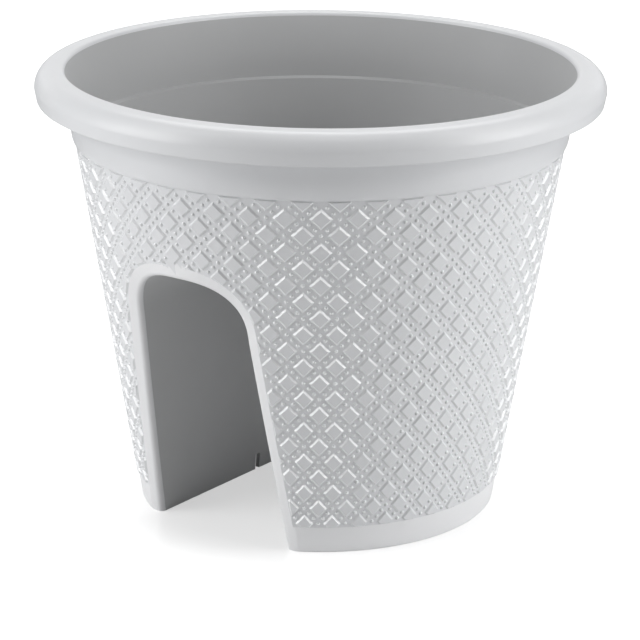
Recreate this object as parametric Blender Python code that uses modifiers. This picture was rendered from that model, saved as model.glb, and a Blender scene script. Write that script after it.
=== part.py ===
"""Railing planter: a round moulded pot that sits astride a balcony rail.

The pot is one thin-walled moulding. A rolled rim and a plain collar stand on a
tapered round wall with raised diamonds, and an arched tunnel runs right through
the lower half, so the two legs hang down on either side of the rail. Each leg
ends in a floor set up inside a short skirt, with a drain hole that a pull-out
plug closes.

Frame: metres, +Z up, origin in the middle of the base plane. The rail tunnel
runs along Y and the legs stand at -X and +X.
"""
import math

import bmesh
import bpy
from mathutils import Matrix

MM = 0.001

# Wall of revolution, from the base up
BASE_RADIUS = 95.9 * MM
WALL_TOP_RADIUS = 128.5 * MM
WALL_HEIGHT = 197.9 * MM
WALL = 2.4 * MM

# Plain collar above the patterned wall
COLLAR_STEP = 0.9 * MM
COLLAR_BULGE = 2.2 * MM
COLLAR_ROUND = 10.1 * MM
COLLAR_HEIGHT = 22.1 * MM

# Rolled rim, a downturned hook round the mouth
RIM_OVERHANG = 18.4 * MM
RIM_DEPTH = 16.0 * MM
RIM_SHOULDER = 9.7 * MM
RIM_FLAT = 6.2 * MM
RIM_EDGE = 1.9 * MM
RIM_DRAFT = 1.1 * MM
LIP_ROUND = 0.7 * MM
NECK_LAP = 3.0 * MM

# Ledge inside, where the collar steps in to the wall
LEDGE_RISE = 2.7 * MM
LEDGE_SLOPE = 1.1 * MM

# Rail tunnel
TUNNEL_HALF_WIDTH = 41.8 * MM
TUNNEL_DRAFT = math.radians(3.6)
TUNNEL_HEIGHT = 147.3 * MM
ARCH_RISE = 30.0 * MM
ARCH_POWER = 2.6

# Rounded edge where the tunnel comes out through the wall, which it meets at a slight angle
MOUTH_ROUND = 4.2 * MM
MOUTH_MEET = math.radians(12.0)
MOUTH_FLARE = 2.0 * MM

# Raised diamonds in staggered rows on the wall, with a plain border round each tunnel mouth
DIAMOND_COLUMNS = 44
DIAMOND_PITCH = 18.0 * MM
DIAMOND_LOW = 17.1 * MM
DIAMOND_GAP = 4.4 * MM
DIAMOND_RISE = 0.75 * MM
MOUTH_BORDER = 7.4 * MM

# Leg floors, skirts and drains
SKIRT_HEIGHT = 10.0 * MM
FLOOR = 2.4 * MM
NOTCH_WIDTH = 3.5 * MM
NOTCH_ROOF = 1.0 * MM
DRAIN_RADIUS = 8.0 * MM

# Drain plug
FIT_GAP = 0.3 * MM
FLANGE_LAP = 4.0 * MM
FLANGE_THICK = 2.0 * MM
PLUG_TAIL = 2.0 * MM
TAIL_TAPER = 1.2 * MM
GRIP_STEM_RADIUS = 3.0 * MM
GRIP_STEM_HEIGHT = 4.0 * MM
GRIP_RADIUS = 5.0 * MM
GRIP_HEIGHT = 4.0 * MM
GRIP_ROUND = 1.2 * MM

# How finely round shapes are divided
ROUND_STEPS = 64
PLUG_STEPS = 32
ARCH_STEPS = 24
SIDE_STEPS = 2
MOUTH_STEPS = 3
CORNER_STEPS = 1
FILLET_STEPS = 4
EDGE_STEPS = 4

# Room that a cutter has past the surface it cuts through
REACH = 20.0 * MM

# How far the wall runs up inside the collar, so that the two are one solid
JOIN_LAP = 2.0 * MM

# Points closer than this are one point
WELD = 0.001 * MM

# Levels and radii that follow from the sizes above
COLLAR_EDGE = WALL_TOP_RADIUS + COLLAR_STEP
COLLAR_RADIUS = COLLAR_EDGE + COLLAR_BULGE
RIM_RADIUS = COLLAR_RADIUS + RIM_OVERHANG
MOUTH_RADIUS = RIM_RADIUS - RIM_SHOULDER - RIM_FLAT
LIP_RADIUS = RIM_RADIUS - RIM_DRAFT
LIP_Z = WALL_HEIGHT + COLLAR_HEIGHT
TOP_Z = LIP_Z + RIM_DEPTH
NECK_Z = LIP_Z - NECK_LAP
LEDGE_Z = WALL_HEIGHT + LEDGE_RISE
FLOOR_Z = SKIRT_HEIGHT + FLOOR
SPRING_Z = TUNNEL_HEIGHT - ARCH_RISE
DIAMOND_ROWS = int((WALL_HEIGHT - DIAMOND_LOW) / DIAMOND_PITCH)
DIAMOND_TOP = DIAMOND_LOW + DIAMOND_ROWS * DIAMOND_PITCH
TAPER = (WALL_TOP_RADIUS - BASE_RADIUS) / WALL_HEIGHT
SLANT = math.hypot(1.0, TAPER)


def wall_radius(z):
    """Outer radius of the tapered wall at a height."""
    return BASE_RADIUS + TAPER * z


def inner_radius(z):
    """Inner radius of the tapered wall at a height."""
    return wall_radius(z) - WALL * SLANT


def collar_radius(z):
    """Outer radius of the collar at a height, rounded in at its lower edge."""
    drop = max(0.0, WALL_HEIGHT + COLLAR_ROUND - z) / COLLAR_ROUND
    return COLLAR_EDGE + COLLAR_BULGE * math.sqrt(max(0.0, 1.0 - drop * drop))


def tunnel_half_width(z):
    """Half width of the tunnel between its straight sides at a height."""
    return TUNNEL_HALF_WIDTH - math.tan(TUNNEL_DRAFT) * z


def arc(centre, radius, start, end, steps):
    """Points along an arc in the (r, z) plane, angles in degrees."""
    points = []
    for i in range(steps + 1):
        angle = math.radians(start + (end - start) * i / steps)
        points.append((centre[0] + radius * math.cos(angle), centre[1] + radius * math.sin(angle)))
    return points


def rim_profile():
    """Outside of the rim and the collar, from the axis over the rim and back under the collar."""
    points = [(0.0, TOP_Z)]
    shoulder = (RIM_RADIUS - RIM_SHOULDER, TOP_Z - RIM_SHOULDER)
    points += arc(shoulder, RIM_SHOULDER, 90.0, 0.0, FILLET_STEPS)
    # Lip of the hook, then the hollow under it
    points.append((LIP_RADIUS, LIP_Z + LIP_ROUND))
    points.append((LIP_RADIUS - LIP_ROUND, LIP_Z))
    points.append((LIP_RADIUS - WALL, LIP_Z))
    points += arc(shoulder, RIM_SHOULDER - WALL, 0.0, 90.0, FILLET_STEPS)
    # Neck flares from the collar up to the mouth
    points.append((MOUTH_RADIUS + WALL + RIM_EDGE, TOP_Z - WALL))
    points.append((MOUTH_RADIUS + WALL, TOP_Z - WALL - RIM_EDGE))
    points.append((COLLAR_RADIUS, NECK_Z))
    for i in range(FILLET_STEPS + 1):
        angle = 0.5 * math.pi * i / FILLET_STEPS
        z = WALL_HEIGHT + COLLAR_ROUND * (1.0 - math.sin(angle))
        points.append((collar_radius(z), z))
    points.append((0.0, WALL_HEIGHT))
    return points


def wall_profile():
    """Outside of the tapered wall, with a point at every other row of diamonds."""
    top = WALL_HEIGHT + JOIN_LAP
    points = [(0.0, top), (wall_radius(top), top)]
    for row in range(DIAMOND_ROWS + 1):
        z = DIAMOND_TOP - row * DIAMOND_PITCH
        points.append((wall_radius(z), z))
    points.append((BASE_RADIUS, 0.0))
    points.append((0.0, 0.0))
    return points


def cavity_profile():
    """Inside of the pot from above the mouth down to the leg floors."""
    edge = (MOUTH_RADIUS + RIM_EDGE, TOP_Z - RIM_EDGE)
    points = [(0.0, TOP_Z + REACH), (edge[0], TOP_Z + REACH)]
    points += arc(edge, RIM_EDGE, 90.0, 180.0, EDGE_STEPS)
    points.append((COLLAR_RADIUS - WALL, NECK_Z))
    points.append((collar_radius(LEDGE_Z) - WALL, LEDGE_Z))
    points.append((inner_radius(LEDGE_Z - LEDGE_SLOPE), LEDGE_Z - LEDGE_SLOPE))
    points.append((inner_radius(FLOOR_Z), FLOOR_Z))
    points.append((0.0, FLOOR_Z))
    return points


def recess_profile():
    """Hollow under the leg floors, inside the skirts."""
    low = -0.5 * REACH
    return [
        (0.0, SKIRT_HEIGHT),
        (inner_radius(SKIRT_HEIGHT), SKIRT_HEIGHT),
        (inner_radius(low), low),
        (0.0, low),
    ]


def plug_profile():
    """Turned drain plug, from the top of its grip down to its tail."""
    seat = FLOOR_Z + FIT_GAP
    flange_top = seat + FLANGE_THICK
    grip_low = flange_top + GRIP_STEM_HEIGHT
    grip_top = grip_low + GRIP_HEIGHT
    shank = DRAIN_RADIUS - FIT_GAP
    tail = SKIRT_HEIGHT - PLUG_TAIL
    points = [(0.0, grip_top)]
    points += arc((GRIP_RADIUS - GRIP_ROUND, grip_top - GRIP_ROUND), GRIP_ROUND, 90.0, 0.0, EDGE_STEPS)
    points.append((GRIP_RADIUS, grip_low + GRIP_ROUND))
    points.append((GRIP_STEM_RADIUS, grip_low))
    points.append((GRIP_STEM_RADIUS, flange_top))
    points.append((DRAIN_RADIUS + FLANGE_LAP, flange_top))
    points.append((DRAIN_RADIUS + FLANGE_LAP, seat))
    points.append((shank, seat))
    points.append((shank, SKIRT_HEIGHT))
    points.append((shank - TAIL_TAPER, tail))
    points.append((0.0, tail))
    return points


def arch_section():
    """Section of the tunnel across the rail, as places and the outward directions there."""
    half = tunnel_half_width(SPRING_Z)
    heights = [-REACH + (SPRING_Z + REACH) * i / SIDE_STEPS for i in range(SIDE_STEPS)]
    places = [(tunnel_half_width(z), z) for z in heights]
    for i in range(ARCH_STEPS + 1):
        angle = math.pi * i / ARCH_STEPS
        c = math.cos(angle)
        s = math.sin(angle)
        x = half * math.copysign(abs(c) ** (2.0 / ARCH_POWER), c)
        z = SPRING_Z + ARCH_RISE * abs(s) ** (2.0 / ARCH_POWER)
        places.append((x, z))
    places += [(-tunnel_half_width(z), z) for z in reversed(heights)]
    section = []
    for i, place in enumerate(places):
        before = places[max(i - 1, 0)]
        after = places[min(i + 1, len(places) - 1)]
        dx = after[0] - before[0]
        dz = after[1] - before[1]
        length = math.hypot(dx, dz)
        section.append((place, (dz / length, -dx / length)))
    return section


def mouth_rings(edge_radius, edge_steps):
    """Rings of points from the tunnel's straight part out through its mouth towards +Y.

    A ball as round as the mouth's edge rolls along inside the wall and beside the
    tunnel. The rings follow a round of the given radius about the ball's middle,
    nearly until it meets the wall, and then run straight out.
    """
    rings = [[] for step in range(edge_steps + 3)]
    for (x, z), (out_x, out_z) in arch_section():
        ball_x = x + MOUTH_ROUND * out_x
        ball_z = z + MOUTH_ROUND * out_z
        ball_r = wall_radius(ball_z) - MOUTH_ROUND * SLANT
        ball_y = math.sqrt(ball_r * ball_r - ball_x * ball_x)
        facing = (out_x * ball_x / ball_r - out_z * TAPER) / SLANT
        turn = math.acos(-facing) - MOUTH_MEET
        path = []
        for step in range(edge_steps + 1):
            angle = turn * step / edge_steps
            aside = MOUTH_ROUND - edge_radius * math.cos(angle)
            path.append((aside, ball_y + edge_radius * math.sin(angle)))
        flare = path[-1][0] + MOUTH_FLARE * math.sin(turn)
        path.append((flare, path[-1][1] + MOUTH_FLARE * math.cos(turn)))
        path.append((flare, RIM_RADIUS + REACH))
        for ring, (aside, y) in zip(rings, path):
            ring.append((x + aside * out_x, y, z + aside * out_z))
    return rings


def clear_of_mouths(x, z):
    """Whether a place on the wall lies outside the plain border round the tunnel mouths."""
    if z < SPRING_Z:
        return abs(x) > tunnel_half_width(z) + MOUTH_BORDER
    across = abs(x) / (tunnel_half_width(SPRING_Z) + MOUTH_BORDER)
    up = (z - SPRING_Z) / (ARCH_RISE + MOUTH_BORDER)
    return across ** ARCH_POWER + up ** ARCH_POWER > 1.0


def drain_centre():
    """Distance of a drain from the middle, half way across its leg floor."""
    near = tunnel_half_width(FLOOR_Z) + WALL
    far = inner_radius(FLOOR_Z)
    return 0.5 * (near + far)


def material(name, colour, roughness):
    """Principled material with a colour and a roughness."""
    made = bpy.data.materials.new(name)
    made.use_nodes = True
    shader = made.node_tree.nodes["Principled BSDF"]
    shader.inputs["Base Color"].default_value = (*colour, 1.0)
    shader.inputs["Roughness"].default_value = roughness
    shader.inputs["Metallic"].default_value = 0.0
    return made


def turned(name, profile, steps, collection):
    """Object turned about Z from a profile that runs down its outer side."""
    mesh = bpy.data.meshes.new(name)
    edges = [(i, i + 1) for i in range(len(profile) - 1)]
    mesh.from_pydata([(r, 0.0, z) for r, z in profile], edges, [])
    made = bpy.data.objects.new(name, mesh)
    collection.objects.link(made)
    screw = made.modifiers.new("Turn", "SCREW")
    screw.axis = "Z"
    screw.steps = steps
    screw.render_steps = steps
    screw.use_merge_vertices = True
    screw.merge_threshold = WELD
    return made


def fixed(target):
    """Works an object's modifiers into its mesh."""
    graph = bpy.context.evaluated_depsgraph_get()
    target.data = bpy.data.meshes.new_from_object(target.evaluated_get(graph))
    target.modifiers.clear()


def raise_diamonds(wall):
    """Turns the squares between the wall's rows into raised diamonds.

    Each square gets a point in its middle, joined to its corners. Without the old
    sides, diamonds are left, in rows that are staggered by half a column.
    """
    shape = bmesh.new()
    shape.from_mesh(wall.data)
    turn = Matrix.Rotation(math.pi / DIAMOND_COLUMNS, 3, "Z")
    bmesh.ops.rotate(shape, verts=shape.verts, cent=(0.0, 0.0, 0.0), matrix=turn)
    squares = set()
    for face in shape.faces:
        heights = [vert.co.z for vert in face.verts]
        if min(heights) > DIAMOND_LOW - WELD and max(heights) < DIAMOND_TOP + WELD:
            squares.add(face)
    sides = {edge for face in squares for edge in face.edges if squares.issuperset(edge.link_faces)}
    poked = bmesh.ops.poke(shape, faces=list(squares), center_mode="MEAN")
    for vert in poked["verts"]:
        vert.co.xy = wall_radius(vert.co.z) * vert.co.xy.normalized()
    bmesh.ops.dissolve_edges(shape, edges=list(sides))
    diamonds = {face for vert in poked["verts"] for face in vert.link_faces}
    clear = [face for face in diamonds if all(clear_of_mouths(vert.co.x, vert.co.z) for vert in face.verts)]
    bmesh.ops.inset_individual(
        shape,
        faces=clear,
        thickness=0.5 * DIAMOND_GAP,
        depth=DIAMOND_RISE,
        use_even_offset=True,
    )
    shape.to_mesh(wall.data)
    shape.free()


def tunnel_form(name, edge_radius, edge_steps, collection):
    """Solid that fills the tunnel from end to end, with rounded mouths of a given radius."""
    rings = mouth_rings(edge_radius, edge_steps)
    mirrored = [[(x, -y, z) for x, y, z in ring] for ring in reversed(rings)]
    rings = mirrored + rings
    shape = bmesh.new()
    loop = [shape.verts.new(point) for point in rings[0]]
    edges = [shape.edges.new(pair) for pair in zip(loop, loop[1:] + loop[:1])]
    bmesh.ops.contextual_create(shape, geom=edges)
    for ring in rings[1:]:
        grown = bmesh.ops.extrude_edge_only(shape, edges=edges)["geom"]
        edges = [item for item in grown if isinstance(item, bmesh.types.BMEdge)]
        fresh = [item for item in grown if isinstance(item, bmesh.types.BMVert)]
        for vert, point in zip(fresh, ring):
            vert.co = point
    bmesh.ops.contextual_create(shape, geom=edges)
    bmesh.ops.recalc_face_normals(shape, faces=shape.faces)
    mesh = bpy.data.meshes.new(name)
    shape.to_mesh(mesh)
    shape.free()
    made = bpy.data.objects.new(name, mesh)
    collection.objects.link(made)
    return made


def cylinder(name, radius, low, high, x, collection):
    """Upright round cutter between two heights."""
    mesh = bpy.data.meshes.new(name)
    shape = bmesh.new()
    bmesh.ops.create_cone(
        shape,
        cap_ends=True,
        segments=PLUG_STEPS,
        radius1=radius,
        radius2=radius,
        depth=high - low,
    )
    shape.to_mesh(mesh)
    shape.free()
    made = bpy.data.objects.new(name, mesh)
    made.location = (x, 0.0, 0.5 * (low + high))
    collection.objects.link(made)
    return made


def box(name, size, centre, collection):
    """Box cutter of a given size about a centre."""
    mesh = bpy.data.meshes.new(name)
    shape = bmesh.new()
    bmesh.ops.create_cube(shape, size=1.0)
    bmesh.ops.scale(shape, vec=size, verts=shape.verts)
    shape.to_mesh(mesh)
    shape.free()
    made = bpy.data.objects.new(name, mesh)
    made.location = centre
    collection.objects.link(made)
    return made


def combine(target, tool, operation):
    """Joins a tool's shape to a target or takes it away."""
    modifier = target.modifiers.new(operation.title() + " " + tool.name, "BOOLEAN")
    modifier.operation = operation
    modifier.solver = "EXACT"
    modifier.object = tool


def cut(target, tool):
    """Takes a cutter's shape away from a target."""
    combine(target, tool, "DIFFERENCE")


def hide_cutter(tool):
    """Marks an object as a guide that isn't a piece."""
    tool.hide_render = True
    tool.display_type = "WIRE"


def build():
    """Builds the pot and its drain plugs."""
    for old in list(bpy.data.objects):
        bpy.data.objects.remove(old, do_unlink=True)
    parts = bpy.data.collections.new("railing_planter")
    cutters = bpy.data.collections.new("railing_planter_cutters")
    bpy.context.scene.collection.children.link(parts)
    bpy.context.scene.collection.children.link(cutters)

    pot_plastic = material("pot_plastic", (0.80, 0.81, 0.82), 0.38)
    plug_plastic = material("plug_plastic", (0.55, 0.56, 0.57), 0.55)

    tunnel = tunnel_form("tunnel", MOUTH_ROUND, MOUTH_STEPS, cutters)
    tunnel_shell = tunnel_form("tunnel_shell", MOUTH_ROUND - WALL, CORNER_STEPS, cutters)
    cavity = turned("cavity", cavity_profile(), ROUND_STEPS, cutters)
    cut(cavity, tunnel_shell)
    recess = turned("recess", recess_profile(), ROUND_STEPS, cutters)
    cut(recess, tunnel_shell)
    wall = turned("wall", wall_profile(), DIAMOND_COLUMNS, cutters)
    fixed(wall)
    raise_diamonds(wall)
    tools = [tunnel, tunnel_shell, cavity, recess, wall]

    pot = turned("pot_body", rim_profile(), ROUND_STEPS, parts)
    pot.data.materials.append(pot_plastic)
    combine(pot, wall, "UNION")
    cut(pot, cavity)
    cut(pot, recess)
    cut(pot, tunnel)
    notch_size = (2.0 * REACH, NOTCH_WIDTH, 2.0 * (SKIRT_HEIGHT - NOTCH_ROOF))
    for side, sign in (("left", -1.0), ("right", 1.0)):
        x = sign * drain_centre()
        hole = cylinder("drain_" + side, DRAIN_RADIUS, -REACH, FLOOR_Z + REACH, x, cutters)
        cut(pot, hole)
        # Notch in the foot of the tunnel's side wall lets drained water out
        notch_x = sign * tunnel_half_width(0.0)
        notch = box("notch_" + side, notch_size, (notch_x, 0.0, 0.0), cutters)
        cut(pot, notch)
        tools += [hole, notch]

        plug = turned("drain_plug_" + side, plug_profile(), PLUG_STEPS, parts)
        plug.location = (x, 0.0, 0.0)
        plug.data.materials.append(plug_plastic)
    for tool in tools:
        hide_cutter(tool)


build()
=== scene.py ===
"""Looks of a round moulded planter that sits astride a balcony rail.

The pot body is remade as a fine shell with rounded tunnel mouths, the raised
diamonds and dots of its wall are laid on as relief, and each drain plug is
turned anew. Everything is in metres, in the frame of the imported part: +Z up,
the rail tunnel along Y and the legs at -X and +X.
"""

import logging
import math
from dataclasses import dataclass, field
from enum import Enum, IntEnum
from typing import Callable, Iterable, Sequence

import bmesh
import bpy
from mathutils import Matrix, Vector


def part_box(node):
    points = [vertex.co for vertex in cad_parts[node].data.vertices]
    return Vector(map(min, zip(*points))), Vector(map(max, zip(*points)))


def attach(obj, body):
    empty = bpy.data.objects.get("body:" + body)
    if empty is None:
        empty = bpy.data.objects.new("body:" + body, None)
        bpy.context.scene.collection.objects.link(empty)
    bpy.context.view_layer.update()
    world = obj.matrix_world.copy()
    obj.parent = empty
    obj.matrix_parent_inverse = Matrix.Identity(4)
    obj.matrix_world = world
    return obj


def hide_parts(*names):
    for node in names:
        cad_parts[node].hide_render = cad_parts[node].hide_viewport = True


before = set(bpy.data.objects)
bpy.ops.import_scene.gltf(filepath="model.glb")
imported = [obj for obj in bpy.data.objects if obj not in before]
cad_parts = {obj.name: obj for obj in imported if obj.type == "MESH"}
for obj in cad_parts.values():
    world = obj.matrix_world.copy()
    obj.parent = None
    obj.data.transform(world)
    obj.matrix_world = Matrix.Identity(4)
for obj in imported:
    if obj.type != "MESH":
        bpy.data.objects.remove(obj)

LOG = logging.getLogger("railing_planter")
MM = 0.001
WELD = 0.01 * MM
SHARP_ANGLE = math.radians(38.0)

Profile = list[tuple[float, float]]
Section = list[tuple[Vector, Vector]]
Colour = tuple[float, float, float]


class Skin(IntEnum):
    """Material slots of the pot: the white outside, grey painted shade inside and in the tunnel, paler
    painted light on the plain border and darker painted shade on the patterned wall.
    """

    OUTSIDE = 0
    INSIDE = 1
    TUNNEL = 2
    BORDER = 3
    PANEL = 4


class Relief(IntEnum):
    """Material slots of the raised relief: the diamonds' tops share the wall's darker painted shade, and
    their edges and the dots take a paler painted highlight.
    """

    TOP = 0
    EDGE = 1


class Leg(Enum):
    """The two legs of the pot, by the side of the rail that they hang on."""

    LEFT = -1.0
    RIGHT = 1.0

    @property
    def word(self) -> str:
        """The leg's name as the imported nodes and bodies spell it."""
        return self.name.lower()


def arc(centre: tuple[float, float], radius: float, start: float, end: float, steps: int) -> Profile:
    """Points along an arc in the (r, z) plane.

    Args:
        centre: Middle of the arc.
        radius: Radius of the arc.
        start: First angle, in degrees.
        end: Last angle, in degrees.
        steps: Number of stretches between the points.

    Returns:
        The points from the first angle to the last.
    """
    points = []
    for i in range(steps + 1):
        angle = math.radians(start + (end - start) * i / steps)
        points.append((centre[0] + radius * math.cos(angle), centre[1] + radius * math.sin(angle)))
    return points


def finished_object(
    name: str, shape: bmesh.types.BMesh, materials: Iterable[bpy.types.Material]
) -> bpy.types.Object:
    """Turns a bmesh into an object at the origin and frees the bmesh.

    Args:
        name: Name of the new object.
        shape: Geometry in world coordinates.
        materials: Materials for the object's slots, in order.

    Returns:
        The new object, linked to the scene.
    """
    mesh = bpy.data.meshes.new(name)
    shape.to_mesh(mesh)
    shape.free()
    for material in materials:
        mesh.materials.append(material)
    made = bpy.data.objects.new(name, mesh)
    bpy.context.scene.collection.objects.link(made)
    return made


def turned(profile: Profile, steps: int) -> bmesh.types.BMesh:
    """Spins an open profile that starts and ends on the Z axis into a closed solid.

    Args:
        profile: Points (r, z) of the outer side.
        steps: Number of sides round the axis.

    Returns:
        The closed solid with its faces pointing out.
    """
    shape = bmesh.new()
    points = [shape.verts.new((r, 0.0, z)) for r, z in profile]
    edges = [shape.edges.new(pair) for pair in zip(points, points[1:])]
    bmesh.ops.spin(shape, geom=points + edges, cent=(0.0, 0.0, 0.0), axis=(0.0, 0.0, 1.0),
                   angle=2.0 * math.pi, steps=steps, use_merge=True, use_duplicate=False)
    bmesh.ops.remove_doubles(shape, verts=shape.verts, dist=WELD)
    bmesh.ops.recalc_face_normals(shape, faces=shape.faces)
    return shape


def cut_away(target: bpy.types.Object, tools: Sequence[bpy.types.Object]) -> bpy.types.Object:
    """Takes the shapes of cutters away from an object and removes the cutters.

    Args:
        target: Object to cut. It is removed too.
        tools: Closed cutters with the same material slots.

    Returns:
        A new object of the target's name with the cuts made.
    """
    for tool in tools:
        modifier = target.modifiers.new("Cut", "BOOLEAN")
        modifier.operation = "DIFFERENCE"
        modifier.solver = "EXACT"
        modifier.object = tool
    graph = bpy.context.evaluated_depsgraph_get()
    mesh = bpy.data.meshes.new_from_object(target.evaluated_get(graph), depsgraph=graph)
    name = target.name
    for old in (target, *tools):
        bpy.data.objects.remove(old, do_unlink=True)
    mesh.name = name
    made = bpy.data.objects.new(name, mesh)
    bpy.context.scene.collection.objects.link(made)
    return made


class MouldGrain:
    """Shader group for the faint clouding and fine grain of moulded plastic."""

    NAME = "mould_grain"
    CLOUD_DETAIL = 3.0
    GRAIN_DETAIL = 2.0

    @classmethod
    def group(cls) -> bpy.types.NodeTree:
        """Builds the group once, and gives the same one afterwards."""
        made = bpy.data.node_groups.get(cls.NAME)
        if made is None:
            made = bpy.data.node_groups.new(cls.NAME, "ShaderNodeTree")
            cls._sockets(made)
            cls._nodes(made)
        return made

    @staticmethod
    def _sockets(tree: bpy.types.NodeTree) -> None:
        """Adds the group's named inputs and outputs."""
        inputs = (
            ("Place", "NodeSocketVector"),
            ("Pale", "NodeSocketColor"),
            ("Deep", "NodeSocketColor"),
            ("Cloud Scale", "NodeSocketFloat"),
            ("Grain Scale", "NodeSocketFloat"),
            ("Smooth", "NodeSocketFloat"),
            ("Rough", "NodeSocketFloat"),
        )
        outputs = (
            ("Colour", "NodeSocketColor"),
            ("Roughness", "NodeSocketFloat"),
            ("Height", "NodeSocketFloat"),
        )
        for name, kind in inputs:
            tree.interface.new_socket(name=name, in_out="INPUT", socket_type=kind)
        for name, kind in outputs:
            tree.interface.new_socket(name=name, in_out="OUTPUT", socket_type=kind)

    @classmethod
    def _nodes(cls, tree: bpy.types.NodeTree) -> None:
        """Wires clouding into the colour and grain into the roughness and height."""
        link = tree.links.new
        entry = tree.nodes.new("NodeGroupInput")
        leave = tree.nodes.new("NodeGroupOutput")
        cloud = tree.nodes.new("ShaderNodeTexNoise")
        cloud.inputs["Detail"].default_value = cls.CLOUD_DETAIL
        grain = tree.nodes.new("ShaderNodeTexNoise")
        grain.inputs["Detail"].default_value = cls.GRAIN_DETAIL
        tone = tree.nodes.new("ShaderNodeMix")
        tone.data_type = "RGBA"
        gloss = tree.nodes.new("ShaderNodeMapRange")
        link(entry.outputs["Place"], cloud.inputs["Vector"])
        link(entry.outputs["Place"], grain.inputs["Vector"])
        link(entry.outputs["Cloud Scale"], cloud.inputs["Scale"])
        link(entry.outputs["Grain Scale"], grain.inputs["Scale"])
        link(cloud.outputs["Fac"], tone.inputs["Factor"])
        link(entry.outputs["Pale"], tone.inputs["A"])
        link(entry.outputs["Deep"], tone.inputs["B"])
        link(cloud.outputs["Fac"], gloss.inputs["Value"])
        link(entry.outputs["Smooth"], gloss.inputs["To Min"])
        link(entry.outputs["Rough"], gloss.inputs["To Max"])
        link(tone.outputs["Result"], leave.inputs["Colour"])
        link(gloss.outputs["Result"], leave.inputs["Roughness"])
        link(grain.outputs["Fac"], leave.inputs["Height"])


@dataclass(frozen=True)
class PlasticFinish:
    """Moulded plastic with a faint clouding of its colour and a fine grain.

    Attributes:
        name: Name of the material.
        pale: Lighter colour of the clouding.
        deep: Darker colour of the clouding.
        smooth: Lower roughness.
        rough: Higher roughness.
        grain_depth: Height of the grain, in metres.
        specular: Specular level of the plastic.
        cloud_scale: Clouds to the metre.
        grain_scale: Grains to the metre.
    """

    name: str
    pale: Colour
    deep: Colour
    smooth: float
    rough: float
    grain_depth: float = 0.012 * MM
    specular: float = 0.7
    cloud_scale: float = 26.0
    grain_scale: float = 1500.0

    def material(self) -> bpy.types.Material:
        """Builds the finish as a node material."""
        made = bpy.data.materials.new(self.name)
        made.use_nodes = True
        tree = made.node_tree
        shader = tree.nodes["Principled BSDF"]
        place = tree.nodes.new("ShaderNodeTexCoord")
        mould = tree.nodes.new("ShaderNodeGroup")
        mould.node_tree = MouldGrain.group()
        mould.inputs["Pale"].default_value = (*self.pale, 1.0)
        mould.inputs["Deep"].default_value = (*self.deep, 1.0)
        mould.inputs["Cloud Scale"].default_value = self.cloud_scale
        mould.inputs["Grain Scale"].default_value = self.grain_scale
        mould.inputs["Smooth"].default_value = self.smooth
        mould.inputs["Rough"].default_value = self.rough
        bump = tree.nodes.new("ShaderNodeBump")
        bump.inputs["Distance"].default_value = self.grain_depth
        tree.links.new(place.outputs["Object"], mould.inputs["Place"])
        tree.links.new(mould.outputs["Colour"], shader.inputs["Base Color"])
        tree.links.new(mould.outputs["Roughness"], shader.inputs["Roughness"])
        tree.links.new(mould.outputs["Height"], bump.inputs["Height"])
        tree.links.new(bump.outputs["Normal"], shader.inputs["Normal"])
        shader.inputs["Specular IOR Level"].default_value = self.specular
        return made


WHITE_SATIN = PlasticFinish("white_satin_plastic", (0.80, 0.81, 0.825), (0.76, 0.77, 0.79), 0.34, 0.42)
# Paler than the white outside: painted light on the plain band round the base and on the tunnel mouths'
# borders.
BORDER_PAINTED_LIGHT = PlasticFinish("plain_border_painted_light", (0.90, 0.905, 0.915), (0.87, 0.875, 0.89), 0.32, 0.40)
# A little darker than the white outside: painted shade for the relief's self-shadowing over the patterned
# wall.
PANEL_PAINTED_SHADE = PlasticFinish("patterned_wall_painted_shade", (0.785, 0.795, 0.81), (0.75, 0.76, 0.78), 0.36, 0.44)
# Paler than the wall: painted highlight on the diamonds' sloping edges and on the dots.
RAISED_PAINTED_HIGHLIGHT = PlasticFinish(
    "raised_painted_highlight_plastic", (0.87, 0.88, 0.89), (0.84, 0.85, 0.865), 0.22, 0.28, specular=1.0
)
# Grey: painted shade on the white plastic inside the pot, under the leg floors and in the drains.
INSIDE_PAINTED_SHADE = PlasticFinish("shaded_inside_plastic", (0.52, 0.525, 0.53), (0.49, 0.495, 0.50), 0.55, 0.65)
# Grey: painted shade on the white plastic inside the rail tunnel.
TUNNEL_PAINTED_SHADE = PlasticFinish("shaded_tunnel_plastic", (0.60, 0.605, 0.61), (0.57, 0.575, 0.58), 0.55, 0.65)
PLUG_GREY = PlasticFinish("grey_plug_plastic", (0.30, 0.305, 0.31), (0.27, 0.275, 0.28), 0.5, 0.6)


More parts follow.
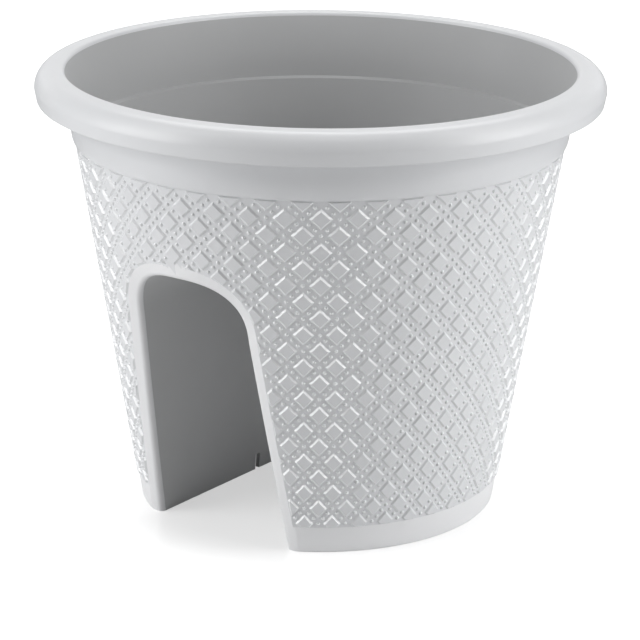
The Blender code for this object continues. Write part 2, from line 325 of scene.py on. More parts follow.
@dataclass(frozen=True)
class PotSizes:
    """Sizes of the moulding, in metres.

    The rim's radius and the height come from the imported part, and the rest
    repeats the sizes that the part is built to.
    """

    rim_radius: float
    top_z: float
    base_radius: float = 95.9 * MM
    wall_top_radius: float = 128.5 * MM
    wall_height: float = 197.9 * MM
    wall: float = 2.4 * MM
    collar_step: float = 0.9 * MM
    collar_bulge: float = 2.2 * MM
    collar_round: float = 10.1 * MM
    rim_depth: float = 16.0 * MM
    rim_shoulder: float = 9.7 * MM
    rim_flat: float = 6.2 * MM
    rim_edge: float = 1.9 * MM
    rim_draft: float = 1.1 * MM
    lip_round: float = 0.7 * MM
    neck_lap: float = 3.0 * MM
    ledge_rise: float = 2.7 * MM
    ledge_slope: float = 1.1 * MM
    tunnel_half_width: float = 41.8 * MM
    tunnel_draft: float = math.radians(3.6)
    tunnel_height: float = 147.3 * MM
    arch_rise: float = 30.0 * MM
    arch_power: float = 2.6
    mouth_round: float = 3.0 * MM
    mouth_border: float = 7.2 * MM
    mouth_tilt: float = math.radians(25.0)
    pattern_low: float = 14.75 * MM
    foot_round: float = 1.0 * MM
    skirt_height: float = 10.0 * MM
    floor: float = 2.4 * MM
    notch_width: float = 3.5 * MM
    notch_roof: float = 1.0 * MM
    drain_radius: float = 8.0 * MM

    @property
    def taper(self) -> float:
        """How much the wall's radius grows with its height."""
        return (self.wall_top_radius - self.base_radius) / self.wall_height

    @property
    def slant(self) -> float:
        """Length along the wall's slope for each metre of height."""
        return math.hypot(1.0, self.taper)

    @property
    def collar_edge(self) -> float:
        """Radius of the collar's lower edge."""
        return self.wall_top_radius + self.collar_step

    @property
    def collar_full(self) -> float:
        """Radius of the collar where it stands upright."""
        return self.collar_edge + self.collar_bulge

    @property
    def mouth_radius(self) -> float:
        """Radius of the pot's mouth."""
        return self.rim_radius - self.rim_shoulder - self.rim_flat

    @property
    def lip_z(self) -> float:
        """Height of the rim's lower lip."""
        return self.top_z - self.rim_depth

    @property
    def floor_z(self) -> float:
        """Height of the leg floors' upper face."""
        return self.skirt_height + self.floor

    @property
    def spring_z(self) -> float:
        """Height where the tunnel's sides turn into its arch."""
        return self.tunnel_height - self.arch_rise

    def wall_radius(self, z: float) -> float:
        """Outer radius of the tapered wall at a height."""
        return self.base_radius + self.taper * z

    def inner_radius(self, z: float) -> float:
        """Inner radius of the tapered wall at a height."""
        return self.wall_radius(z) - self.wall * self.slant

    def collar_radius(self, z: float) -> float:
        """Outer radius of the collar at a height."""
        drop = max(0.0, self.wall_height + self.collar_round - z) / self.collar_round
        return self.collar_edge + self.collar_bulge * math.sqrt(max(0.0, 1.0 - drop * drop))

    def side_x(self, z: float) -> float:
        """Half width between the tunnel's straight sides at a height."""
        return self.tunnel_half_width - math.tan(self.tunnel_draft) * z

    def drain_x(self) -> float:
        """Distance of each drain from the middle, half way across its leg floor."""
        near = self.side_x(self.floor_z) + self.wall
        return 0.5 * (near + self.inner_radius(self.floor_z))

    def tunnel_section(self, low: float, side_steps: int, arch_steps: int) -> Section:
        """Outline of the tunnel across the rail, from its right foot over to its left.

        Args:
            low: Height of both feet.
            side_steps: Stretches along each straight side.
            arch_steps: Stretches along the arch.

        Returns:
            Places (x, z) and the outward directions there, open between the feet.
        """
        half = self.side_x(self.spring_z)
        rise = [low + (self.spring_z - low) * i / side_steps for i in range(side_steps)]
        places = [Vector((self.side_x(z), z)) for z in rise]
        for i in range(arch_steps + 1):
            angle = math.pi * i / arch_steps
            c = math.cos(angle)
            x = half * math.copysign(abs(c) ** (2.0 / self.arch_power), c)
            z = self.spring_z + self.arch_rise * abs(math.sin(angle)) ** (2.0 / self.arch_power)
            places.append(Vector((x, z)))
        places += [Vector((-self.side_x(z), z)) for z in reversed(rise)]
        section = []
        for i, place in enumerate(places):
            along = places[min(i + 1, len(places) - 1)] - places[max(i - 1, 0)]
            section.append((place, Vector((along.y, -along.x)).normalized()))
        return section


@dataclass
class PotShell:
    """The one-piece moulding: rim, collar, wall, tunnel, legs and their floors."""

    sizes: PotSizes
    round_steps: int = 176
    fillet_steps: int = 10
    lip_steps: int = 4
    foot_steps: int = 3
    drain_steps: int = 48
    side_steps: int = 14
    arch_steps: int = 56
    mouth_steps: int = 8
    mouth_flare: float = 4.0 * MM
    reach: float = 20.0 * MM
    tunnel_low: float = -30.0 * MM
    even_weight: int = 100
    materials: list[bpy.types.Material] = field(default_factory=list)

    def build(self) -> bpy.types.Object:
        """Builds the shell, with a rounded mouth at each end of the tunnel.

        Returns:
            The finished shell.
        """
        # White outside, then grey painted shade inside and in the tunnel, paler painted light on the border
        # and darker painted shade on the wall.
        finishes_and_painted_tones = (WHITE_SATIN, INSIDE_PAINTED_SHADE, TUNNEL_PAINTED_SHADE, BORDER_PAINTED_LIGHT, PANEL_PAINTED_SHADE)
        self.materials = [finish.material() for finish in finishes_and_painted_tones]
        s = self.sizes
        cavity = self._hollow("cavity", self._cavity_profile(), self._cavity_skin)
        # The hollow under the leg floors takes the grey painted shade of the inside.
        recess = self._hollow("recess", self._recess_profile(), lambda face: Skin.INSIDE)
        tools = [cavity, recess, self._tunnel()]
        for leg in Leg:
            tools.append(self._drain(leg))
            tools.append(self._notch(leg))
        solid = turned(self._outer_profile(), self.round_steps)
        for face in solid.faces:
            z = face.calc_center_median().z
            if z < s.wall_height:
                # Below the pattern: paler painted light on the plain band; above it: darker painted shade
                # on the patterned wall.
                face.material_index = Skin.BORDER if z < s.pattern_low else Skin.PANEL
        shell = cut_away(finished_object("pot_shell", solid, self.materials), tools)
        self._weld(shell)
        shell.data.shade_smooth()
        shell.data.set_sharp_from_angle(angle=SHARP_ANGLE)
        self._crease_border(shell)
        even = shell.modifiers.new("Even shading", "WEIGHTED_NORMAL")
        even.weight = self.even_weight
        even.keep_sharp = True
        across = 2.0 * s.rim_radius / MM
        LOG.info("%s: %d faces, %.0f mm across", shell.name, len(shell.data.polygons), across)
        return shell

    @staticmethod
    def _weld(shell: bpy.types.Object) -> None:
        """Joins the points that the cuts leave almost on one another."""
        shape = bmesh.new()
        shape.from_mesh(shell.data)
        bmesh.ops.remove_doubles(shape, verts=shape.verts, dist=WELD)
        bmesh.ops.dissolve_degenerate(shape, dist=WELD, edges=shape.edges)
        shape.to_mesh(shell.data)
        shape.free()

    @staticmethod
    def _crease_border(shell: bpy.types.Object) -> None:
        """Keeps a crease where the sloping border meets the wall."""
        shape = bmesh.new()
        shape.from_mesh(shell.data)
        for edge in shape.edges:
            skins = {face.material_index for face in edge.link_faces}
            if Skin.BORDER in skins and skins & {Skin.OUTSIDE, Skin.PANEL}:
                edge.smooth = False
        shape.to_mesh(shell.data)
        shape.free()

    def dress(self, shell: bpy.types.Object) -> None:
        """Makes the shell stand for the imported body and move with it."""
        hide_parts("pot_body")
        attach(shell, "pot")

    def _outer_profile(self) -> Profile:
        """Outside of the pot from the axis over the rim and down to the base."""
        s = self.sizes
        shoulder = (s.rim_radius - s.rim_shoulder, s.top_z - s.rim_shoulder)
        lip = s.rim_radius - s.rim_draft
        points = [(0.0, s.top_z)]
        points += arc(shoulder, s.rim_shoulder, 90.0, 0.0, self.fillet_steps)
        points += arc((lip - s.lip_round, s.lip_z + s.lip_round), s.lip_round, 0.0, -90.0, self.lip_steps)
        points.append((lip - s.wall, s.lip_z))
        points += arc(shoulder, s.rim_shoulder - s.wall, 0.0, 90.0, self.fillet_steps)
        points.append((s.mouth_radius + s.wall + s.rim_edge, s.top_z - s.wall))
        points.append((s.mouth_radius + s.wall, s.top_z - s.wall - s.rim_edge))
        points.append((s.collar_full, s.lip_z - s.neck_lap))
        for i in range(self.fillet_steps + 1):
            angle = 0.5 * math.pi * i / self.fillet_steps
            z = s.wall_height + s.collar_round * (1.0 - math.sin(angle))
            points.append((s.collar_radius(z), z))
        points.append((s.wall_top_radius, s.wall_height))
        points.append((s.wall_radius(s.pattern_low), s.pattern_low))
        foot = (s.wall_radius(s.foot_round) - s.foot_round, s.foot_round)
        points += arc(foot, s.foot_round, 0.0, -90.0, self.foot_steps)
        points.append((0.0, 0.0))
        return points

    def _cavity_profile(self) -> Profile:
        """Inside of the pot from above the mouth down to the leg floors."""
        s = self.sizes
        ledge = s.wall_height + s.ledge_rise
        edge = (s.mouth_radius + s.rim_edge, s.top_z - s.rim_edge)
        points = [(0.0, s.top_z + self.reach), (edge[0], s.top_z + self.reach)]
        points += arc(edge, s.rim_edge, 90.0, 180.0, self.fillet_steps // 2)
        return points + [
            (s.collar_full - s.wall, s.lip_z - s.neck_lap),
            (s.collar_radius(ledge) - s.wall, ledge),
            (s.inner_radius(ledge - s.ledge_slope), ledge - s.ledge_slope),
            (s.inner_radius(s.floor_z), s.floor_z),
            (0.0, s.floor_z),
        ]

    def _cavity_skin(self, face: bmesh.types.BMFace) -> Skin:
        """Finish of a face of the cavity: the edge of its mouth is as pale as the rim, and the rest takes
        the grey painted shade of the inside.
        """
        s = self.sizes
        z = face.calc_center_median().z
        return Skin.OUTSIDE if z > s.top_z - s.rim_edge else Skin.INSIDE

    def _recess_profile(self) -> Profile:
        """Hollow under the leg floors, inside the skirts."""
        s = self.sizes
        return [
            (0.0, s.skirt_height),
            (s.inner_radius(s.skirt_height), s.skirt_height),
            (s.inner_radius(-self.reach), -self.reach),
            (0.0, -self.reach),
        ]

    def _hollow(
        self, name: str, profile: Profile, skin: Callable[[bmesh.types.BMFace], Skin]
    ) -> bpy.types.Object:
        """Turned hollow that leaves the tunnel's wall standing.

        Args:
            name: Name of the cutter.
            profile: Outer side of the hollow.
            skin: Gives the finish that each face of the hollow leaves.

        Returns:
            The cutter.
        """
        shape = turned(profile, self.round_steps)
        for face in shape.faces:
            face.material_index = skin(face)
        hollow = finished_object(name, shape, self.materials)
        corner = self.sizes.mouth_round - self.sizes.wall
        # The tunnel's outer side within the pot takes the grey painted shade of the inside.
        return cut_away(hollow, [self._tunnel_form("core", corner, Skin.INSIDE)])

    def _swept(self, name: str, rings: Sequence[Sequence[Vector]], skin: Skin) -> bpy.types.Object:
        """Closed cutter drawn out from one ring of points to the next.

        Args:
            name: Name of the cutter.
            rings: Rings with the same number of points.
            skin: Finish that its faces leave.

        Returns:
            The cutter.
        """
        shape = bmesh.new()
        loop = [shape.verts.new(point) for point in rings[0]]
        edges = [shape.edges.new(pair) for pair in zip(loop, loop[1:] + loop[:1])]
        bmesh.ops.contextual_create(shape, geom=edges)
        for ring in rings[1:]:
            grown = bmesh.ops.extrude_edge_only(shape, edges=edges)["geom"]
            fresh = [item for item in grown if isinstance(item, bmesh.types.BMVert)]
            edges = [item for item in grown if isinstance(item, bmesh.types.BMEdge)]
            for vert, point in zip(fresh, ring):
                vert.co = point
        bmesh.ops.contextual_create(shape, geom=edges)
        bmesh.ops.recalc_face_normals(shape, faces=shape.faces)
        for face in shape.faces:
            face.material_index = skin
        return finished_object(name, shape, self.materials)

    def _mouth_rings(self, edge_radius: float) -> list[list[Vector]]:
        """Rings of points from the tunnel's straight part out through its mouth.

        The plain border beside the mouth is a slope that sinks from the wall towards
        the tunnel and flattens out over the arch. A round leads from its inner edge
        into the tunnel's side.

        Args:
            edge_radius: Radius of the round, about the same line for every radius.

        Returns:
            The rings, from the inside outwards along +Y.
        """
        s = self.sizes
        rings: list[list[Vector]] = [[] for _ in range(self.mouth_steps + 3)]
        for place, outward in s.tunnel_section(self.tunnel_low, self.side_steps, self.arch_steps):
            edge = place + s.mouth_border * outward
            edge_r = s.wall_radius(edge.y)
            edge_y = math.sqrt(edge_r ** 2 - edge.x ** 2)
            wall_slope = (edge_r * s.taper * outward.y - edge.x * outward.x) / edge_y
            slope = math.atan(wall_slope) + s.mouth_tilt * abs(outward.x)
            drop = math.tan(slope) * (s.mouth_round - s.mouth_border)
            centre_y = edge_y + drop - s.mouth_round / math.cos(slope)
            path = []
            for step in range(self.mouth_steps + 1):
                angle = (0.5 * math.pi - slope) * step / self.mouth_steps
                aside = s.mouth_round - edge_radius * math.cos(angle)
                path.append((aside, centre_y + edge_radius * math.sin(angle)))
            flare = s.mouth_border + self.mouth_flare
            path.append((flare, path[-1][1] + math.tan(slope) * (flare - path[-1][0])))
            path.append((flare, s.rim_radius + self.reach))
            for ring, (aside, y) in zip(rings, path):
                point = place + aside * outward
                ring.append(Vector((point.x, y, point.y)))
        return rings

    def _tunnel_form(self, name: str, edge_radius: float, skin: Skin) -> bpy.types.Object:
        """Cutter that fills the tunnel from end to end, with rounded mouths.

        Args:
            name: Name of the cutter.
            edge_radius: Radius of the mouths' edges.
            skin: Finish that its faces leave.

        Returns:
            The cutter.
        """
        rings = self._mouth_rings(edge_radius)
        mirrored = [[Vector((point.x, -point.y, point.z)) for point in ring] for ring in reversed(rings)]
        return self._swept(name, mirrored + rings, skin)

    def _tunnel(self) -> bpy.types.Object:
        """Rail tunnel, with grey painted shade on its sides and the border's paler painted light on its
        rounded mouths.
        """
        tunnel = self._tunnel_form("tunnel", self.sizes.mouth_round, Skin.BORDER)
        for face in tunnel.data.polygons:
            depths = [tunnel.data.vertices[i].co.y for i in face.vertices]
            # Faces across the tunnel's middle take its grey painted shade; the mouths keep the border's
            # paler painted light.
            if min(depths) < 0.0 < max(depths):
                face.material_index = Skin.TUNNEL
        return tunnel

    def _drain(self, leg: Leg) -> bpy.types.Object:
        """Round hole through a leg's floor."""
        s = self.sizes
        shape = bmesh.new()
        low, high = 0.5 * s.skirt_height, s.floor_z + 0.5 * s.skirt_height
        place = Matrix.Translation((leg.value * s.drain_x(), 0.0, 0.5 * (low + high)))
        bmesh.ops.create_cone(shape, cap_ends=True, segments=self.drain_steps, radius1=s.drain_radius,
                              radius2=s.drain_radius, depth=high - low, matrix=place)
        # The drain hole's side takes the grey painted shade of the inside.
        for face in shape.faces:
            face.material_index = Skin.INSIDE
        return finished_object("drain", shape, self.materials)

    def _notch(self, leg: Leg) -> bpy.types.Object:
        """Notch in the foot of a leg's tunnel side."""
        s = self.sizes
        shape = bmesh.new()
        size = Vector((2.0 * self.reach, s.notch_width, 2.0 * (s.skirt_height - s.notch_roof)))
        place = Matrix.Translation((leg.value * s.side_x(0.0), 0.0, 0.0)) @ Matrix.Diagonal((*size, 1.0))
        bmesh.ops.create_cube(shape, size=1.0, matrix=place)
        # The notch's faces take the grey painted shade of the tunnel.
        for face in shape.faces:
            face.material_index = Skin.TUNNEL
        return finished_object("notch", shape, self.materials)


@dataclass
class DiamondLattice:
    """Raised diamonds in staggered rows on the wall, with dots between them.

    The relief is drawn flat, as wide as the wall is round at its middle height,
    cut along the plain borders, raised, and then wrapped round the wall.
    """

    sizes: PotSizes
    columns: int = 44
    row_pitch: float = 9.0 * MM
    first_row_z: float = 188.1 * MM
    turn: float = math.radians(36.82)
    top_gap: float = 0.4 * MM
    border: float = 7.4 * MM
    border_low: float = -10.0 * MM
    border_side_steps: int = 16
    border_arch_steps: int = 48
    tile_across: float = 0.66
    tile_high: float = 0.62
    tile_rise: float = 0.95 * MM
    tile_bevel: float = 0.9 * MM
    foot_sink: float = 0.3 * MM
    least_share: float = 0.08
    dot_radius: float = 1.15 * MM
    dot_rise: float = 0.9 * MM
    dot_sides: int = 7
    dot_shares: tuple[float, ...] = (1.0 / 3.0, 2.0 / 3.0)
    dot_steps: tuple[tuple[float, float], ...] = ((0.3, 0.65), (0.4, 0.35))
    dot_border_gap: float = 0.8
    dot_top_gap: float = 0.5
    materials: list[bpy.types.Material] = field(default_factory=list)

    @property
    def plan_radius(self) -> float:
        """Radius of the wall at the middle of the pattern."""
        return self.sizes.wall_radius(0.5 * (self.low_line + self.high_line))

    @property
    def low_line(self) -> float:
        """Height of the pattern's lower edge."""
        return self.sizes.pattern_low

    @property
    def high_line(self) -> float:
        """Height of the pattern's upper edge."""
        return self.sizes.wall_height - self.top_gap

    @property
    def column_pitch(self) -> float:
        """Distance between neighbouring columns on the flat drawing."""
        return 2.0 * math.pi * self.plan_radius / self.columns

    @property
    def rows(self) -> int:
        """Number of staggered rows, with the one cut by the upper edge."""
        return int((self.first_row_z - self.low_line) / self.row_pitch) + 3

    def build(self, wall: bpy.types.Material) -> list[bpy.types.Object]:
        """Builds the diamonds and the dots.

        Args:
            wall: Material of the patterned wall, darkened as painted shade, which the diamonds' flat tops
                share.

        Returns:
            The two finished pieces.
        """
        # Tops share the wall's darker painted shade; the diamonds' edges and the dots take the paler
        # painted highlight.
        self.materials = [wall, RAISED_PAINTED_HIGHLIGHT.material()]
        tiles = self._tiles()
        dots = self._dots()
        for piece in (tiles, dots):
            LOG.info("%s: %d faces", piece.name, len(piece.data.polygons))
        return [tiles, dots]

    def dress(self, pieces: Iterable[bpy.types.Object]) -> None:
        """Makes the relief move with the pot."""
        for piece in pieces:
            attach(piece, "pot")

    def _centres(self) -> Iterable[tuple[float, float]]:
        """Centres of all diamonds on the flat drawing."""
        start = self.turn * self.plan_radius
        for row in range(-1, self.rows - 1):
            shift = 0.5 * (row % 2)
            for column in range(self.columns):
                x = start + (column + shift) * self.column_pitch
                yield x, self.first_row_z - row * self.row_pitch

    def _wrapped_x(self, x: float) -> float:
        """The same place on the flat drawing, within half a tunnel pitch of the nearest tunnel mouth."""
        pitch = math.pi * self.plan_radius
        return x - pitch * round(x / pitch)

    def _border(self) -> list[tuple[float, float]]:
        """Outer edge of the plain border round a tunnel mouth, on the flat drawing."""
        s = self.sizes
        mouth = s.tunnel_section(self.border_low, self.border_side_steps, self.border_arch_steps)
        edge = [place + self.border * outward for place, outward in mouth]
        return [(self.plan_radius * math.asin(point.x / s.wall_radius(point.y)), point.y) for point in edge]

    @staticmethod
    def _nearest(border: Profile, x: float, z: float) -> tuple[float, Vector, Vector]:
        """Finds the stretch of the border nearest to a place.

        Args:
            border: The border's points.
            x: Place across the flat drawing, from the tunnel's middle.
            z: Height of the place.

        Returns:
            The distance outside the border, the nearest point, and the outward direction there.
        """
        place = Vector((x, z))
        best = None
        for first, second in zip(border, border[1:]):
            start, along = Vector(first), Vector(second) - Vector(first)
            share = min(1.0, max(0.0, (place - start).dot(along) / along.length_squared))
            point = start + share * along
            gap = (place - point).length
            if best is None or gap < best[0]:
                outward = Vector((along.y, -along.x)).normalized()
                best = (gap, point, outward)
        gap, point, outward = best
        sign = 1.0 if (place - point).dot(outward) >= 0.0 else -1.0
        return sign * gap, point, outward

    def _tiles(self) -> bpy.types.Object:
        """Raised diamonds, cut off along the borders and raised with sloping edges."""
        across = 0.5 * self.tile_across * self.column_pitch
        high = self.tile_high * self.row_pitch
        border = self._border()
        shape = bmesh.new()
        for x, z in self._centres():
            near = self._wrapped_x(x)
            gap, point, outward = self._nearest(border, near, z)
            if gap < -across or z - high > self.high_line or z + high < self.low_line:
                continue
            corners = [(x + across, z), (x, z + high), (x - across, z), (x, z - high)]
            face = shape.faces.new([shape.verts.new((*corner, 0.0)) for corner in corners])
            if gap < across:
                edge = Vector((point.x + x - near, point.y, 0.0))
                bmesh.ops.bisect_plane(shape, geom=[face, *face.edges, *face.verts], plane_co=edge,
                                       plane_no=(outward.x, outward.y, 0.0), clear_inner=True)
        for height, normal in ((self.high_line, 1.0), (self.low_line, -1.0)):
            whole = [*shape.verts, *shape.edges, *shape.faces]
            bmesh.ops.bisect_plane(shape, geom=whole, plane_co=(0.0, height, 0.0),
                                   plane_no=(0.0, normal, 0.0), clear_outer=True)
        least = self.least_share * 2.0 * across * high
        slivers = [face for face in shape.faces if face.calc_area() < least]
        bmesh.ops.delete(shape, geom=slivers, context="FACES")
        for top in self._raise(shape, [(self.tile_bevel, self.tile_rise)]):
            top.material_index = Relief.TOP
        return self._laid(shape, "lattice_diamonds", smooth=False)

    def _dots(self) -> bpy.types.Object:
        """Small domes where the lattice lines cross and at two places along each line."""
        border = self._border()
        shape = bmesh.new()
        half = 0.5 * self.column_pitch
        border_gap = self.dot_border_gap * self.dot_radius
        top_gap = self.dot_top_gap * self.dot_radius
        for x, z in self._centres():
            crossing = (x + half, z)
            places = [crossing]
            for side in (-1.0, 1.0):
                for share in self.dot_shares:
                    places.append((crossing[0] + side * share * half, z - share * self.row_pitch))
            for px, pz in places:
                inside = self.low_line + self.dot_radius < pz < self.high_line - top_gap
                if inside and self._nearest(border, self._wrapped_x(px), pz)[0] > border_gap:
                    squeeze = self.plan_radius / self.sizes.wall_radius(pz)
                    place = Matrix.Translation((px, pz, 0.0)) @ Matrix.Diagonal((squeeze, 1.0, 1.0, 1.0))
                    bmesh.ops.create_circle(shape, cap_ends=True, segments=self.dot_sides,
                                            radius=self.dot_radius, matrix=place)
        steps = [(inward * self.dot_radius, rise * self.dot_rise) for inward, rise in self.dot_steps]
        self._raise(shape, steps)
        return self._laid(shape, "lattice_dots", smooth=True)

    def _raise(
        self, shape: bmesh.types.BMesh, steps: Sequence[tuple[float, float]]
    ) -> list[bmesh.types.BMFace]:
        """Raises every flat face out of the wall into a closed bump with a sunk foot.

        Args:
            shape: Flat faces, one for each bump.
            steps: How far each step draws in, and how far it rises.

        Returns:
            The bumps' flat tops.
        """
        shape.normal_update()
        feet = list(shape.faces)
        bmesh.ops.reverse_faces(shape, faces=[face for face in feet if face.normal.z < 0.0])
        grown = bmesh.ops.extrude_face_region(shape, geom=feet, use_keep_orig=True)["geom"]
        tops = [item for item in grown if isinstance(item, bmesh.types.BMFace)]
        bmesh.ops.translate(shape, verts=[vert for face in feet for vert in face.verts],
                            vec=(0.0, 0.0, -self.foot_sink))
        for inward, rise in steps:
            bmesh.ops.inset_individual(shape, faces=tops, thickness=inward, depth=rise,
                                       use_even_offset=True)
        # Every face takes the paler painted highlight; the diamonds' tops are given the wall's slot
        # afterwards.
        for face in shape.faces:
            face.material_index = Relief.EDGE
        return tops

    def _laid(self, shape: bmesh.types.BMesh, name: str, smooth: bool) -> bpy.types.Object:
        """Wraps the flat relief round the wall and finishes it.

        Args:
            shape: Relief with x along the wall, y up and z out of it.
            name: Name of the piece.
            smooth: Whether the faces are shaded smooth.

        Returns:
            The finished piece.
        """
        s = self.sizes
        slope = math.atan(s.taper)
        for vert in shape.verts:
            x, z, out = vert.co
            radius = s.wall_radius(z) + out * math.cos(slope)
            angle = x / self.plan_radius
            vert.co = (radius * math.sin(angle), -radius * math.cos(angle), z - out * math.sin(slope))
        shape.normal_update()
        for face in shape.faces:
            face.smooth = smooth
        return finished_object(name, shape, self.materials)


@dataclass
class DrainPlug:
    """Turned plug that closes the drain of one leg and pulls out by its grip."""

    leg: Leg
    sizes: PotSizes
    fit_gap: float = 0.3 * MM
    flange_lap: float = 4.0 * MM
    flange_thick: float = 2.0 * MM
    tail: float = 2.0 * MM
    tail_taper: float = 1.2 * MM
    stem_radius: float = 3.0 * MM
    stem_height: float = 4.0 * MM
    grip_radius: float = 5.0 * MM
    grip_height: float = 4.0 * MM
    grip_round: float = 1.2 * MM
    grip_steps: int = 4
    edge_round: float = 0.3 * MM
    edge_angle: float = math.radians(40.0)
    edge_steps: int = 2
    round_steps: int = 48

    def build(self, material: bpy.types.Material) -> bpy.types.Object:
        """Turns the plug and rounds its edges.

        Args:
            material: Finish of the plug.

        Returns:
            The finished plug.
        """
        shape = turned(self._profile(), self.round_steps)
        sharp = [edge for edge in shape.edges if edge.calc_face_angle(0.0) > self.edge_angle]
        bmesh.ops.bevel(shape, geom=sharp, offset=self.edge_round, affect="EDGES",
                        segments=self.edge_steps, profile=0.5, material=-1, clamp_overlap=True)
        bmesh.ops.translate(shape, verts=shape.verts, vec=(self.leg.value * self.sizes.drain_x(), 0.0, 0.0))
        plug = finished_object(f"turned_plug_{self.leg.word}", shape, [material])
        plug.data.shade_smooth()
        plug.data.set_sharp_from_angle(angle=SHARP_ANGLE)
        LOG.info("%s: %d faces", plug.name, len(plug.data.polygons))
        return plug

    def dress(self, plug: bpy.types.Object) -> None:
        """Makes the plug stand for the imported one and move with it."""
        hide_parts(f"drain_plug_{self.leg.word}")
        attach(plug, f"plug_{self.leg.word}")

    def _profile(self) -> Profile:
        """Outer side of the plug from the top of its grip down to its tail."""
        s = self.sizes
        seat = s.floor_z + self.fit_gap
        flange = seat + self.flange_thick
        low = flange + self.stem_height
        top = low + self.grip_height
        shank = s.drain_radius - self.fit_gap
        points = [(0.0, top)]
        edge = (self.grip_radius - self.grip_round, top - self.grip_round)
        points += arc(edge, self.grip_round, 90.0, 0.0, self.grip_steps)
        return points + [
            (self.grip_radius, low + self.grip_round),
            (self.stem_radius, low),
            (self.stem_radius, flange),
            (s.drain_radius + self.flange_lap, flange),
            (s.drain_radius + self.flange_lap, seat),
            (shank, seat),
            (shank, s.skirt_height),
            (shank - self.tail_taper, s.skirt_height - self.tail),
            (0.0, s.skirt_height - self.tail),
        ]


@dataclass(frozen=True)
class PhotoCamera:
    """Camera at the photograph's angle, found by fitting its rings and outlines."""

    image_size: float = 640.0
    focal: float = 2835.7
    pitch: float = 0.3144
    roll: float = 0.0090
    distance: float = 1455.2 * MM
    height: float = 568.6 * MM
    aside: float = 0.7 * MM
    orbit: float = math.radians(36.45)
    sensor: float = 36.0
    clip: tuple[float, float] = (0.05, 50.0)

    def build(self) -> bpy.types.Object:
        """Places the camera and makes it the scene's own.

        Returns:
            The camera.
        """
        data = bpy.data.cameras.new("photo_camera")
        data.sensor_width = self.sensor
        data.lens = self.focal / self.image_size * self.sensor
        data.clip_start, data.clip_end = self.clip
        camera = bpy.data.objects.new("photo_camera", data)
        bpy.context.scene.collection.objects.link(camera)
        lean = Matrix.Rotation(0.5 * math.pi - self.pitch, 4, "X") @ Matrix.Rotation(self.roll, 4, "Z")
        stand = Matrix.Translation((self.aside, -self.distance, self.height))
        camera.matrix_world = Matrix.Rotation(self.orbit, 4, "Z") @ stand @ lean
        bpy.context.scene.camera = camera
        return camera


@dataclass(frozen=True)
class Softbox:
    """Soft rectangular lamp that points at the middle of the pot.

    Attributes:
        name: Name of the lamp.
        bearing: Direction from the pot, in degrees to the right of the camera.
        distance: Distance from the pot's axis, in metres.
        height: Height of the lamp, in metres.
        size: Width and height of the lamp, in metres.
        power: Power in watts.
    """

    name: str
    bearing: float
    distance: float
    height: float
    size: tuple[float, float]
    power: float

    def build(self, camera: PhotoCamera, aim: Vector) -> None:
        """Hangs the lamp beside the camera's line of sight.

        Args:
            camera: Camera that the bearing is counted from.
            aim: Point that the lamp looks at.
        """
        data = bpy.data.lights.new(self.name, "AREA")
        data.shape = "RECTANGLE"
        data.size, data.size_y = self.size
        data.energy = self.power
        lamp = bpy.data.objects.new(self.name, data)
        bpy.context.scene.collection.objects.link(lamp)
        angle = camera.orbit + math.radians(self.bearing)
        place = Vector((math.sin(angle) * self.distance, -math.cos(angle) * self.distance, self.height))
        turn = (aim - place).to_track_quat("-Z", "Y")
        lamp.matrix_world = Matrix.Translation(place) @ turn.to_matrix().to_4x4()


@dataclass(frozen=True)
class FloorTone:
    """One value of the floor's shader.

    Attributes:
        socket: Input of the shader.
        seen: Values that the camera sees under the pot and clear of it.
        bounced: Values for bounced light on the white sheet and beyond it.
    """

    socket: str
    seen: tuple[float, float]
    bounced: tuple[float, float]

    def place(
        self,
        tree: bpy.types.NodeTree,
        clear: bpy.types.NodeSocket,
        beyond: bpy.types.NodeSocket,
        camera: bpy.types.NodeSocket,
    ) -> bpy.types.NodeSocket:
        """Places the nodes that give the value.

        Args:
            tree: Node tree of the floor's material.
            clear: 0 under the pot and 1 clear of it.
            beyond: 0 on the sheet and 1 beyond it.
            camera: 1 where the camera sees the floor and 0 where light bounces off it.

        Returns:
            The value.
        """
        chosen = tree.nodes.new("ShaderNodeMapRange")
        for values, fade, end in ((self.bounced, beyond, "To Min"), (self.seen, clear, "To Max")):
            spread = tree.nodes.new("ShaderNodeMapRange")
            spread.inputs["To Min"].default_value = values[0]
            spread.inputs["To Max"].default_value = values[1]
            tree.links.new(fade, spread.inputs["Value"])
            tree.links.new(spread.outputs["Result"], chosen.inputs[end])
        tree.links.new(camera, chosen.inputs["Value"])
        return chosen.outputs["Result"]


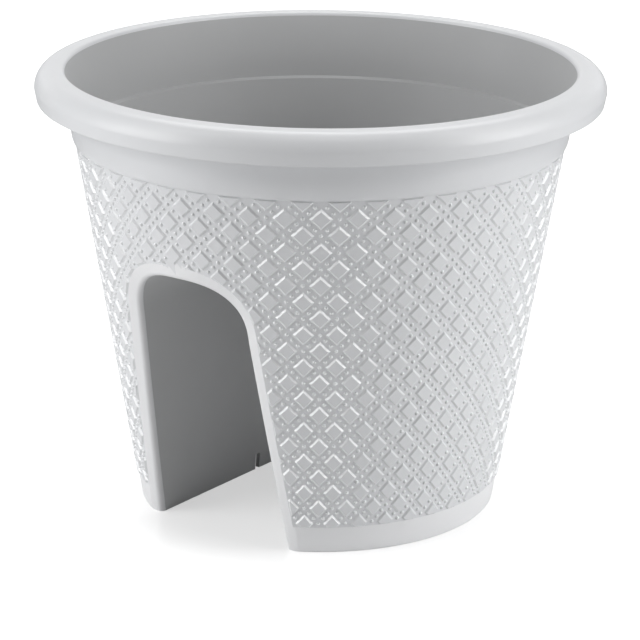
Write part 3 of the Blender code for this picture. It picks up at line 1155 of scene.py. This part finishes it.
@dataclass(frozen=True)
class Studio:
    """White floor, soft lamps and a white surround."""

    floor_half: float = 12.0
    floor_roughness: float = 0.22
    sheet_forward: float = 0.45
    sheet_edge: tuple[float, float] = (0.72, 1.02)
    shade_edge: tuple[float, float] = (0.085, 0.175)
    floor_tones: tuple[FloorTone, ...] = (
        FloorTone("Base Color", seen=(0.55, 0.55), bounced=(0.78, 0.06)),
        FloorTone("Emission Color", seen=(0.51, 1.0), bounced=(0.0, 0.0)),
        FloorTone("Specular IOR Level", seen=(0.5, 0.0), bounced=(0.0, 0.0)),
    )
    surround: float = 0.10
    lamps: tuple[Softbox, ...] = (
        Softbox("left_softbox", -72.0, 1.3, 0.45, (0.8, 1.1), 11.3),
        Softbox("right_softbox", 72.0, 1.3, 0.45, (0.8, 1.1), 11.1),
        Softbox("left_high_softbox", -80.0, 1.0, 1.3, (0.8, 0.6), 3.5),
        Softbox("right_high_softbox", 80.0, 1.0, 1.3, (0.8, 0.6), 3.8),
        Softbox("back_softbox", 180.0, 1.8, 0.62, (2.6, 0.45), 4.0),
        Softbox("back_high_softbox", 180.0, 1.2, 1.8, (1.6, 0.8), 15.0),
        Softbox("top_softbox", 0.0, 0.3, 1.9, (1.0, 0.8), 2.5),
    )

    def build(self, camera: PhotoCamera, middle: Vector) -> None:
        """Lays the floor, hangs the lamps and sets the surround.

        Args:
            camera: Camera that the lamps stand beside.
            middle: Middle of the pot.
        """
        self._floor(camera)
        for lamp in self.lamps:
            lamp.build(camera, middle)
        self._surround()
        bpy.context.scene.view_settings.view_transform = "Standard"

    def _floor(self, camera: PhotoCamera) -> None:
        """Floor that shows white clear of the pot and bounces light off a sheet in front of it.

        Args:
            camera: Camera that the sheet lies towards.
        """
        material = bpy.data.materials.new("pale_floor")
        material.use_nodes = True
        tree = material.node_tree
        shader = tree.nodes["Principled BSDF"]
        shader.inputs["Roughness"].default_value = self.floor_roughness
        shader.inputs["Emission Strength"].default_value = 1.0
        forward = Vector((math.sin(camera.orbit), -math.cos(camera.orbit), 0.0))
        clear = self._fade(tree, Vector(), self.shade_edge)
        beyond = self._fade(tree, self.sheet_forward * forward, self.sheet_edge)
        path = tree.nodes.new("ShaderNodeLightPath")
        for tone in self.floor_tones:
            value = tone.place(tree, clear, beyond, path.outputs["Is Camera Ray"])
            tree.links.new(value, shader.inputs[tone.socket])
        shape = bmesh.new()
        bmesh.ops.create_grid(shape, x_segments=1, y_segments=1, size=self.floor_half)
        floor = finished_object("studio_floor", shape, [material])

    @staticmethod
    def _fade(tree: bpy.types.NodeTree, centre: Vector, edge: tuple[float, float]) -> bpy.types.NodeSocket:
        """Value that rises from 0 to 1 across a ring on the floor.

        Args:
            tree: Node tree of the floor's material.
            centre: Middle of the ring.
            edge: Inner and outer radius of the ring.

        Returns:
            The value.
        """
        place = tree.nodes.new("ShaderNodeTexCoord")
        reach = tree.nodes.new("ShaderNodeVectorMath")
        reach.operation = "DISTANCE"
        reach.inputs[1].default_value = centre
        tree.links.new(place.outputs["Object"], reach.inputs[0])
        fade = tree.nodes.new("ShaderNodeMapRange")
        fade.interpolation_type = "SMOOTHSTEP"
        fade.inputs["From Min"].default_value = edge[0]
        fade.inputs["From Max"].default_value = edge[1]
        tree.links.new(reach.outputs["Value"], fade.inputs["Value"])
        return fade.outputs["Result"]

    def _surround(self) -> None:
        """Even light from all round, seen as white by the camera."""
        world = bpy.data.worlds.new("white_surround")
        bpy.context.scene.world = world
        world.use_nodes = True
        tree = world.node_tree
        light = tree.nodes["Background"]
        path = tree.nodes.new("ShaderNodeLightPath")
        strength = tree.nodes.new("ShaderNodeMapRange")
        strength.inputs["To Min"].default_value = self.surround
        strength.inputs["To Max"].default_value = 1.0
        light.inputs["Color"].default_value = (1.0, 1.0, 1.0, 1.0)
        tree.links.new(path.outputs["Is Camera Ray"], strength.inputs["Value"])
        tree.links.new(strength.outputs["Result"], light.inputs["Strength"])


def packed_sizes() -> PotSizes:
    """Reads the pot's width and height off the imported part."""
    low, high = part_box("pot_body")
    return PotSizes(rim_radius=0.5 * (high.x - low.x), top_z=high.z)


def main() -> None:
    """Builds the pot, its relief, its plugs and the studio round them."""
    logging.basicConfig(level=logging.INFO, format="%(name)s %(message)s")
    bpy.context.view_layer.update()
    sizes = packed_sizes()
    pot = PotShell(sizes)
    shell = pot.build()
    pot.dress(shell)
    lattice = DiamondLattice(sizes)
    lattice.dress(lattice.build(pot.materials[Skin.PANEL]))
    plug_material = PLUG_GREY.material()
    for leg in Leg:
        plug = DrainPlug(leg, sizes)
        plug.dress(plug.build(plug_material))
    camera = PhotoCamera()
    camera.build()
    Studio().build(camera, Vector((0.0, 0.0, 0.5 * sizes.top_z)))


if __name__ == "__main__":
    main()
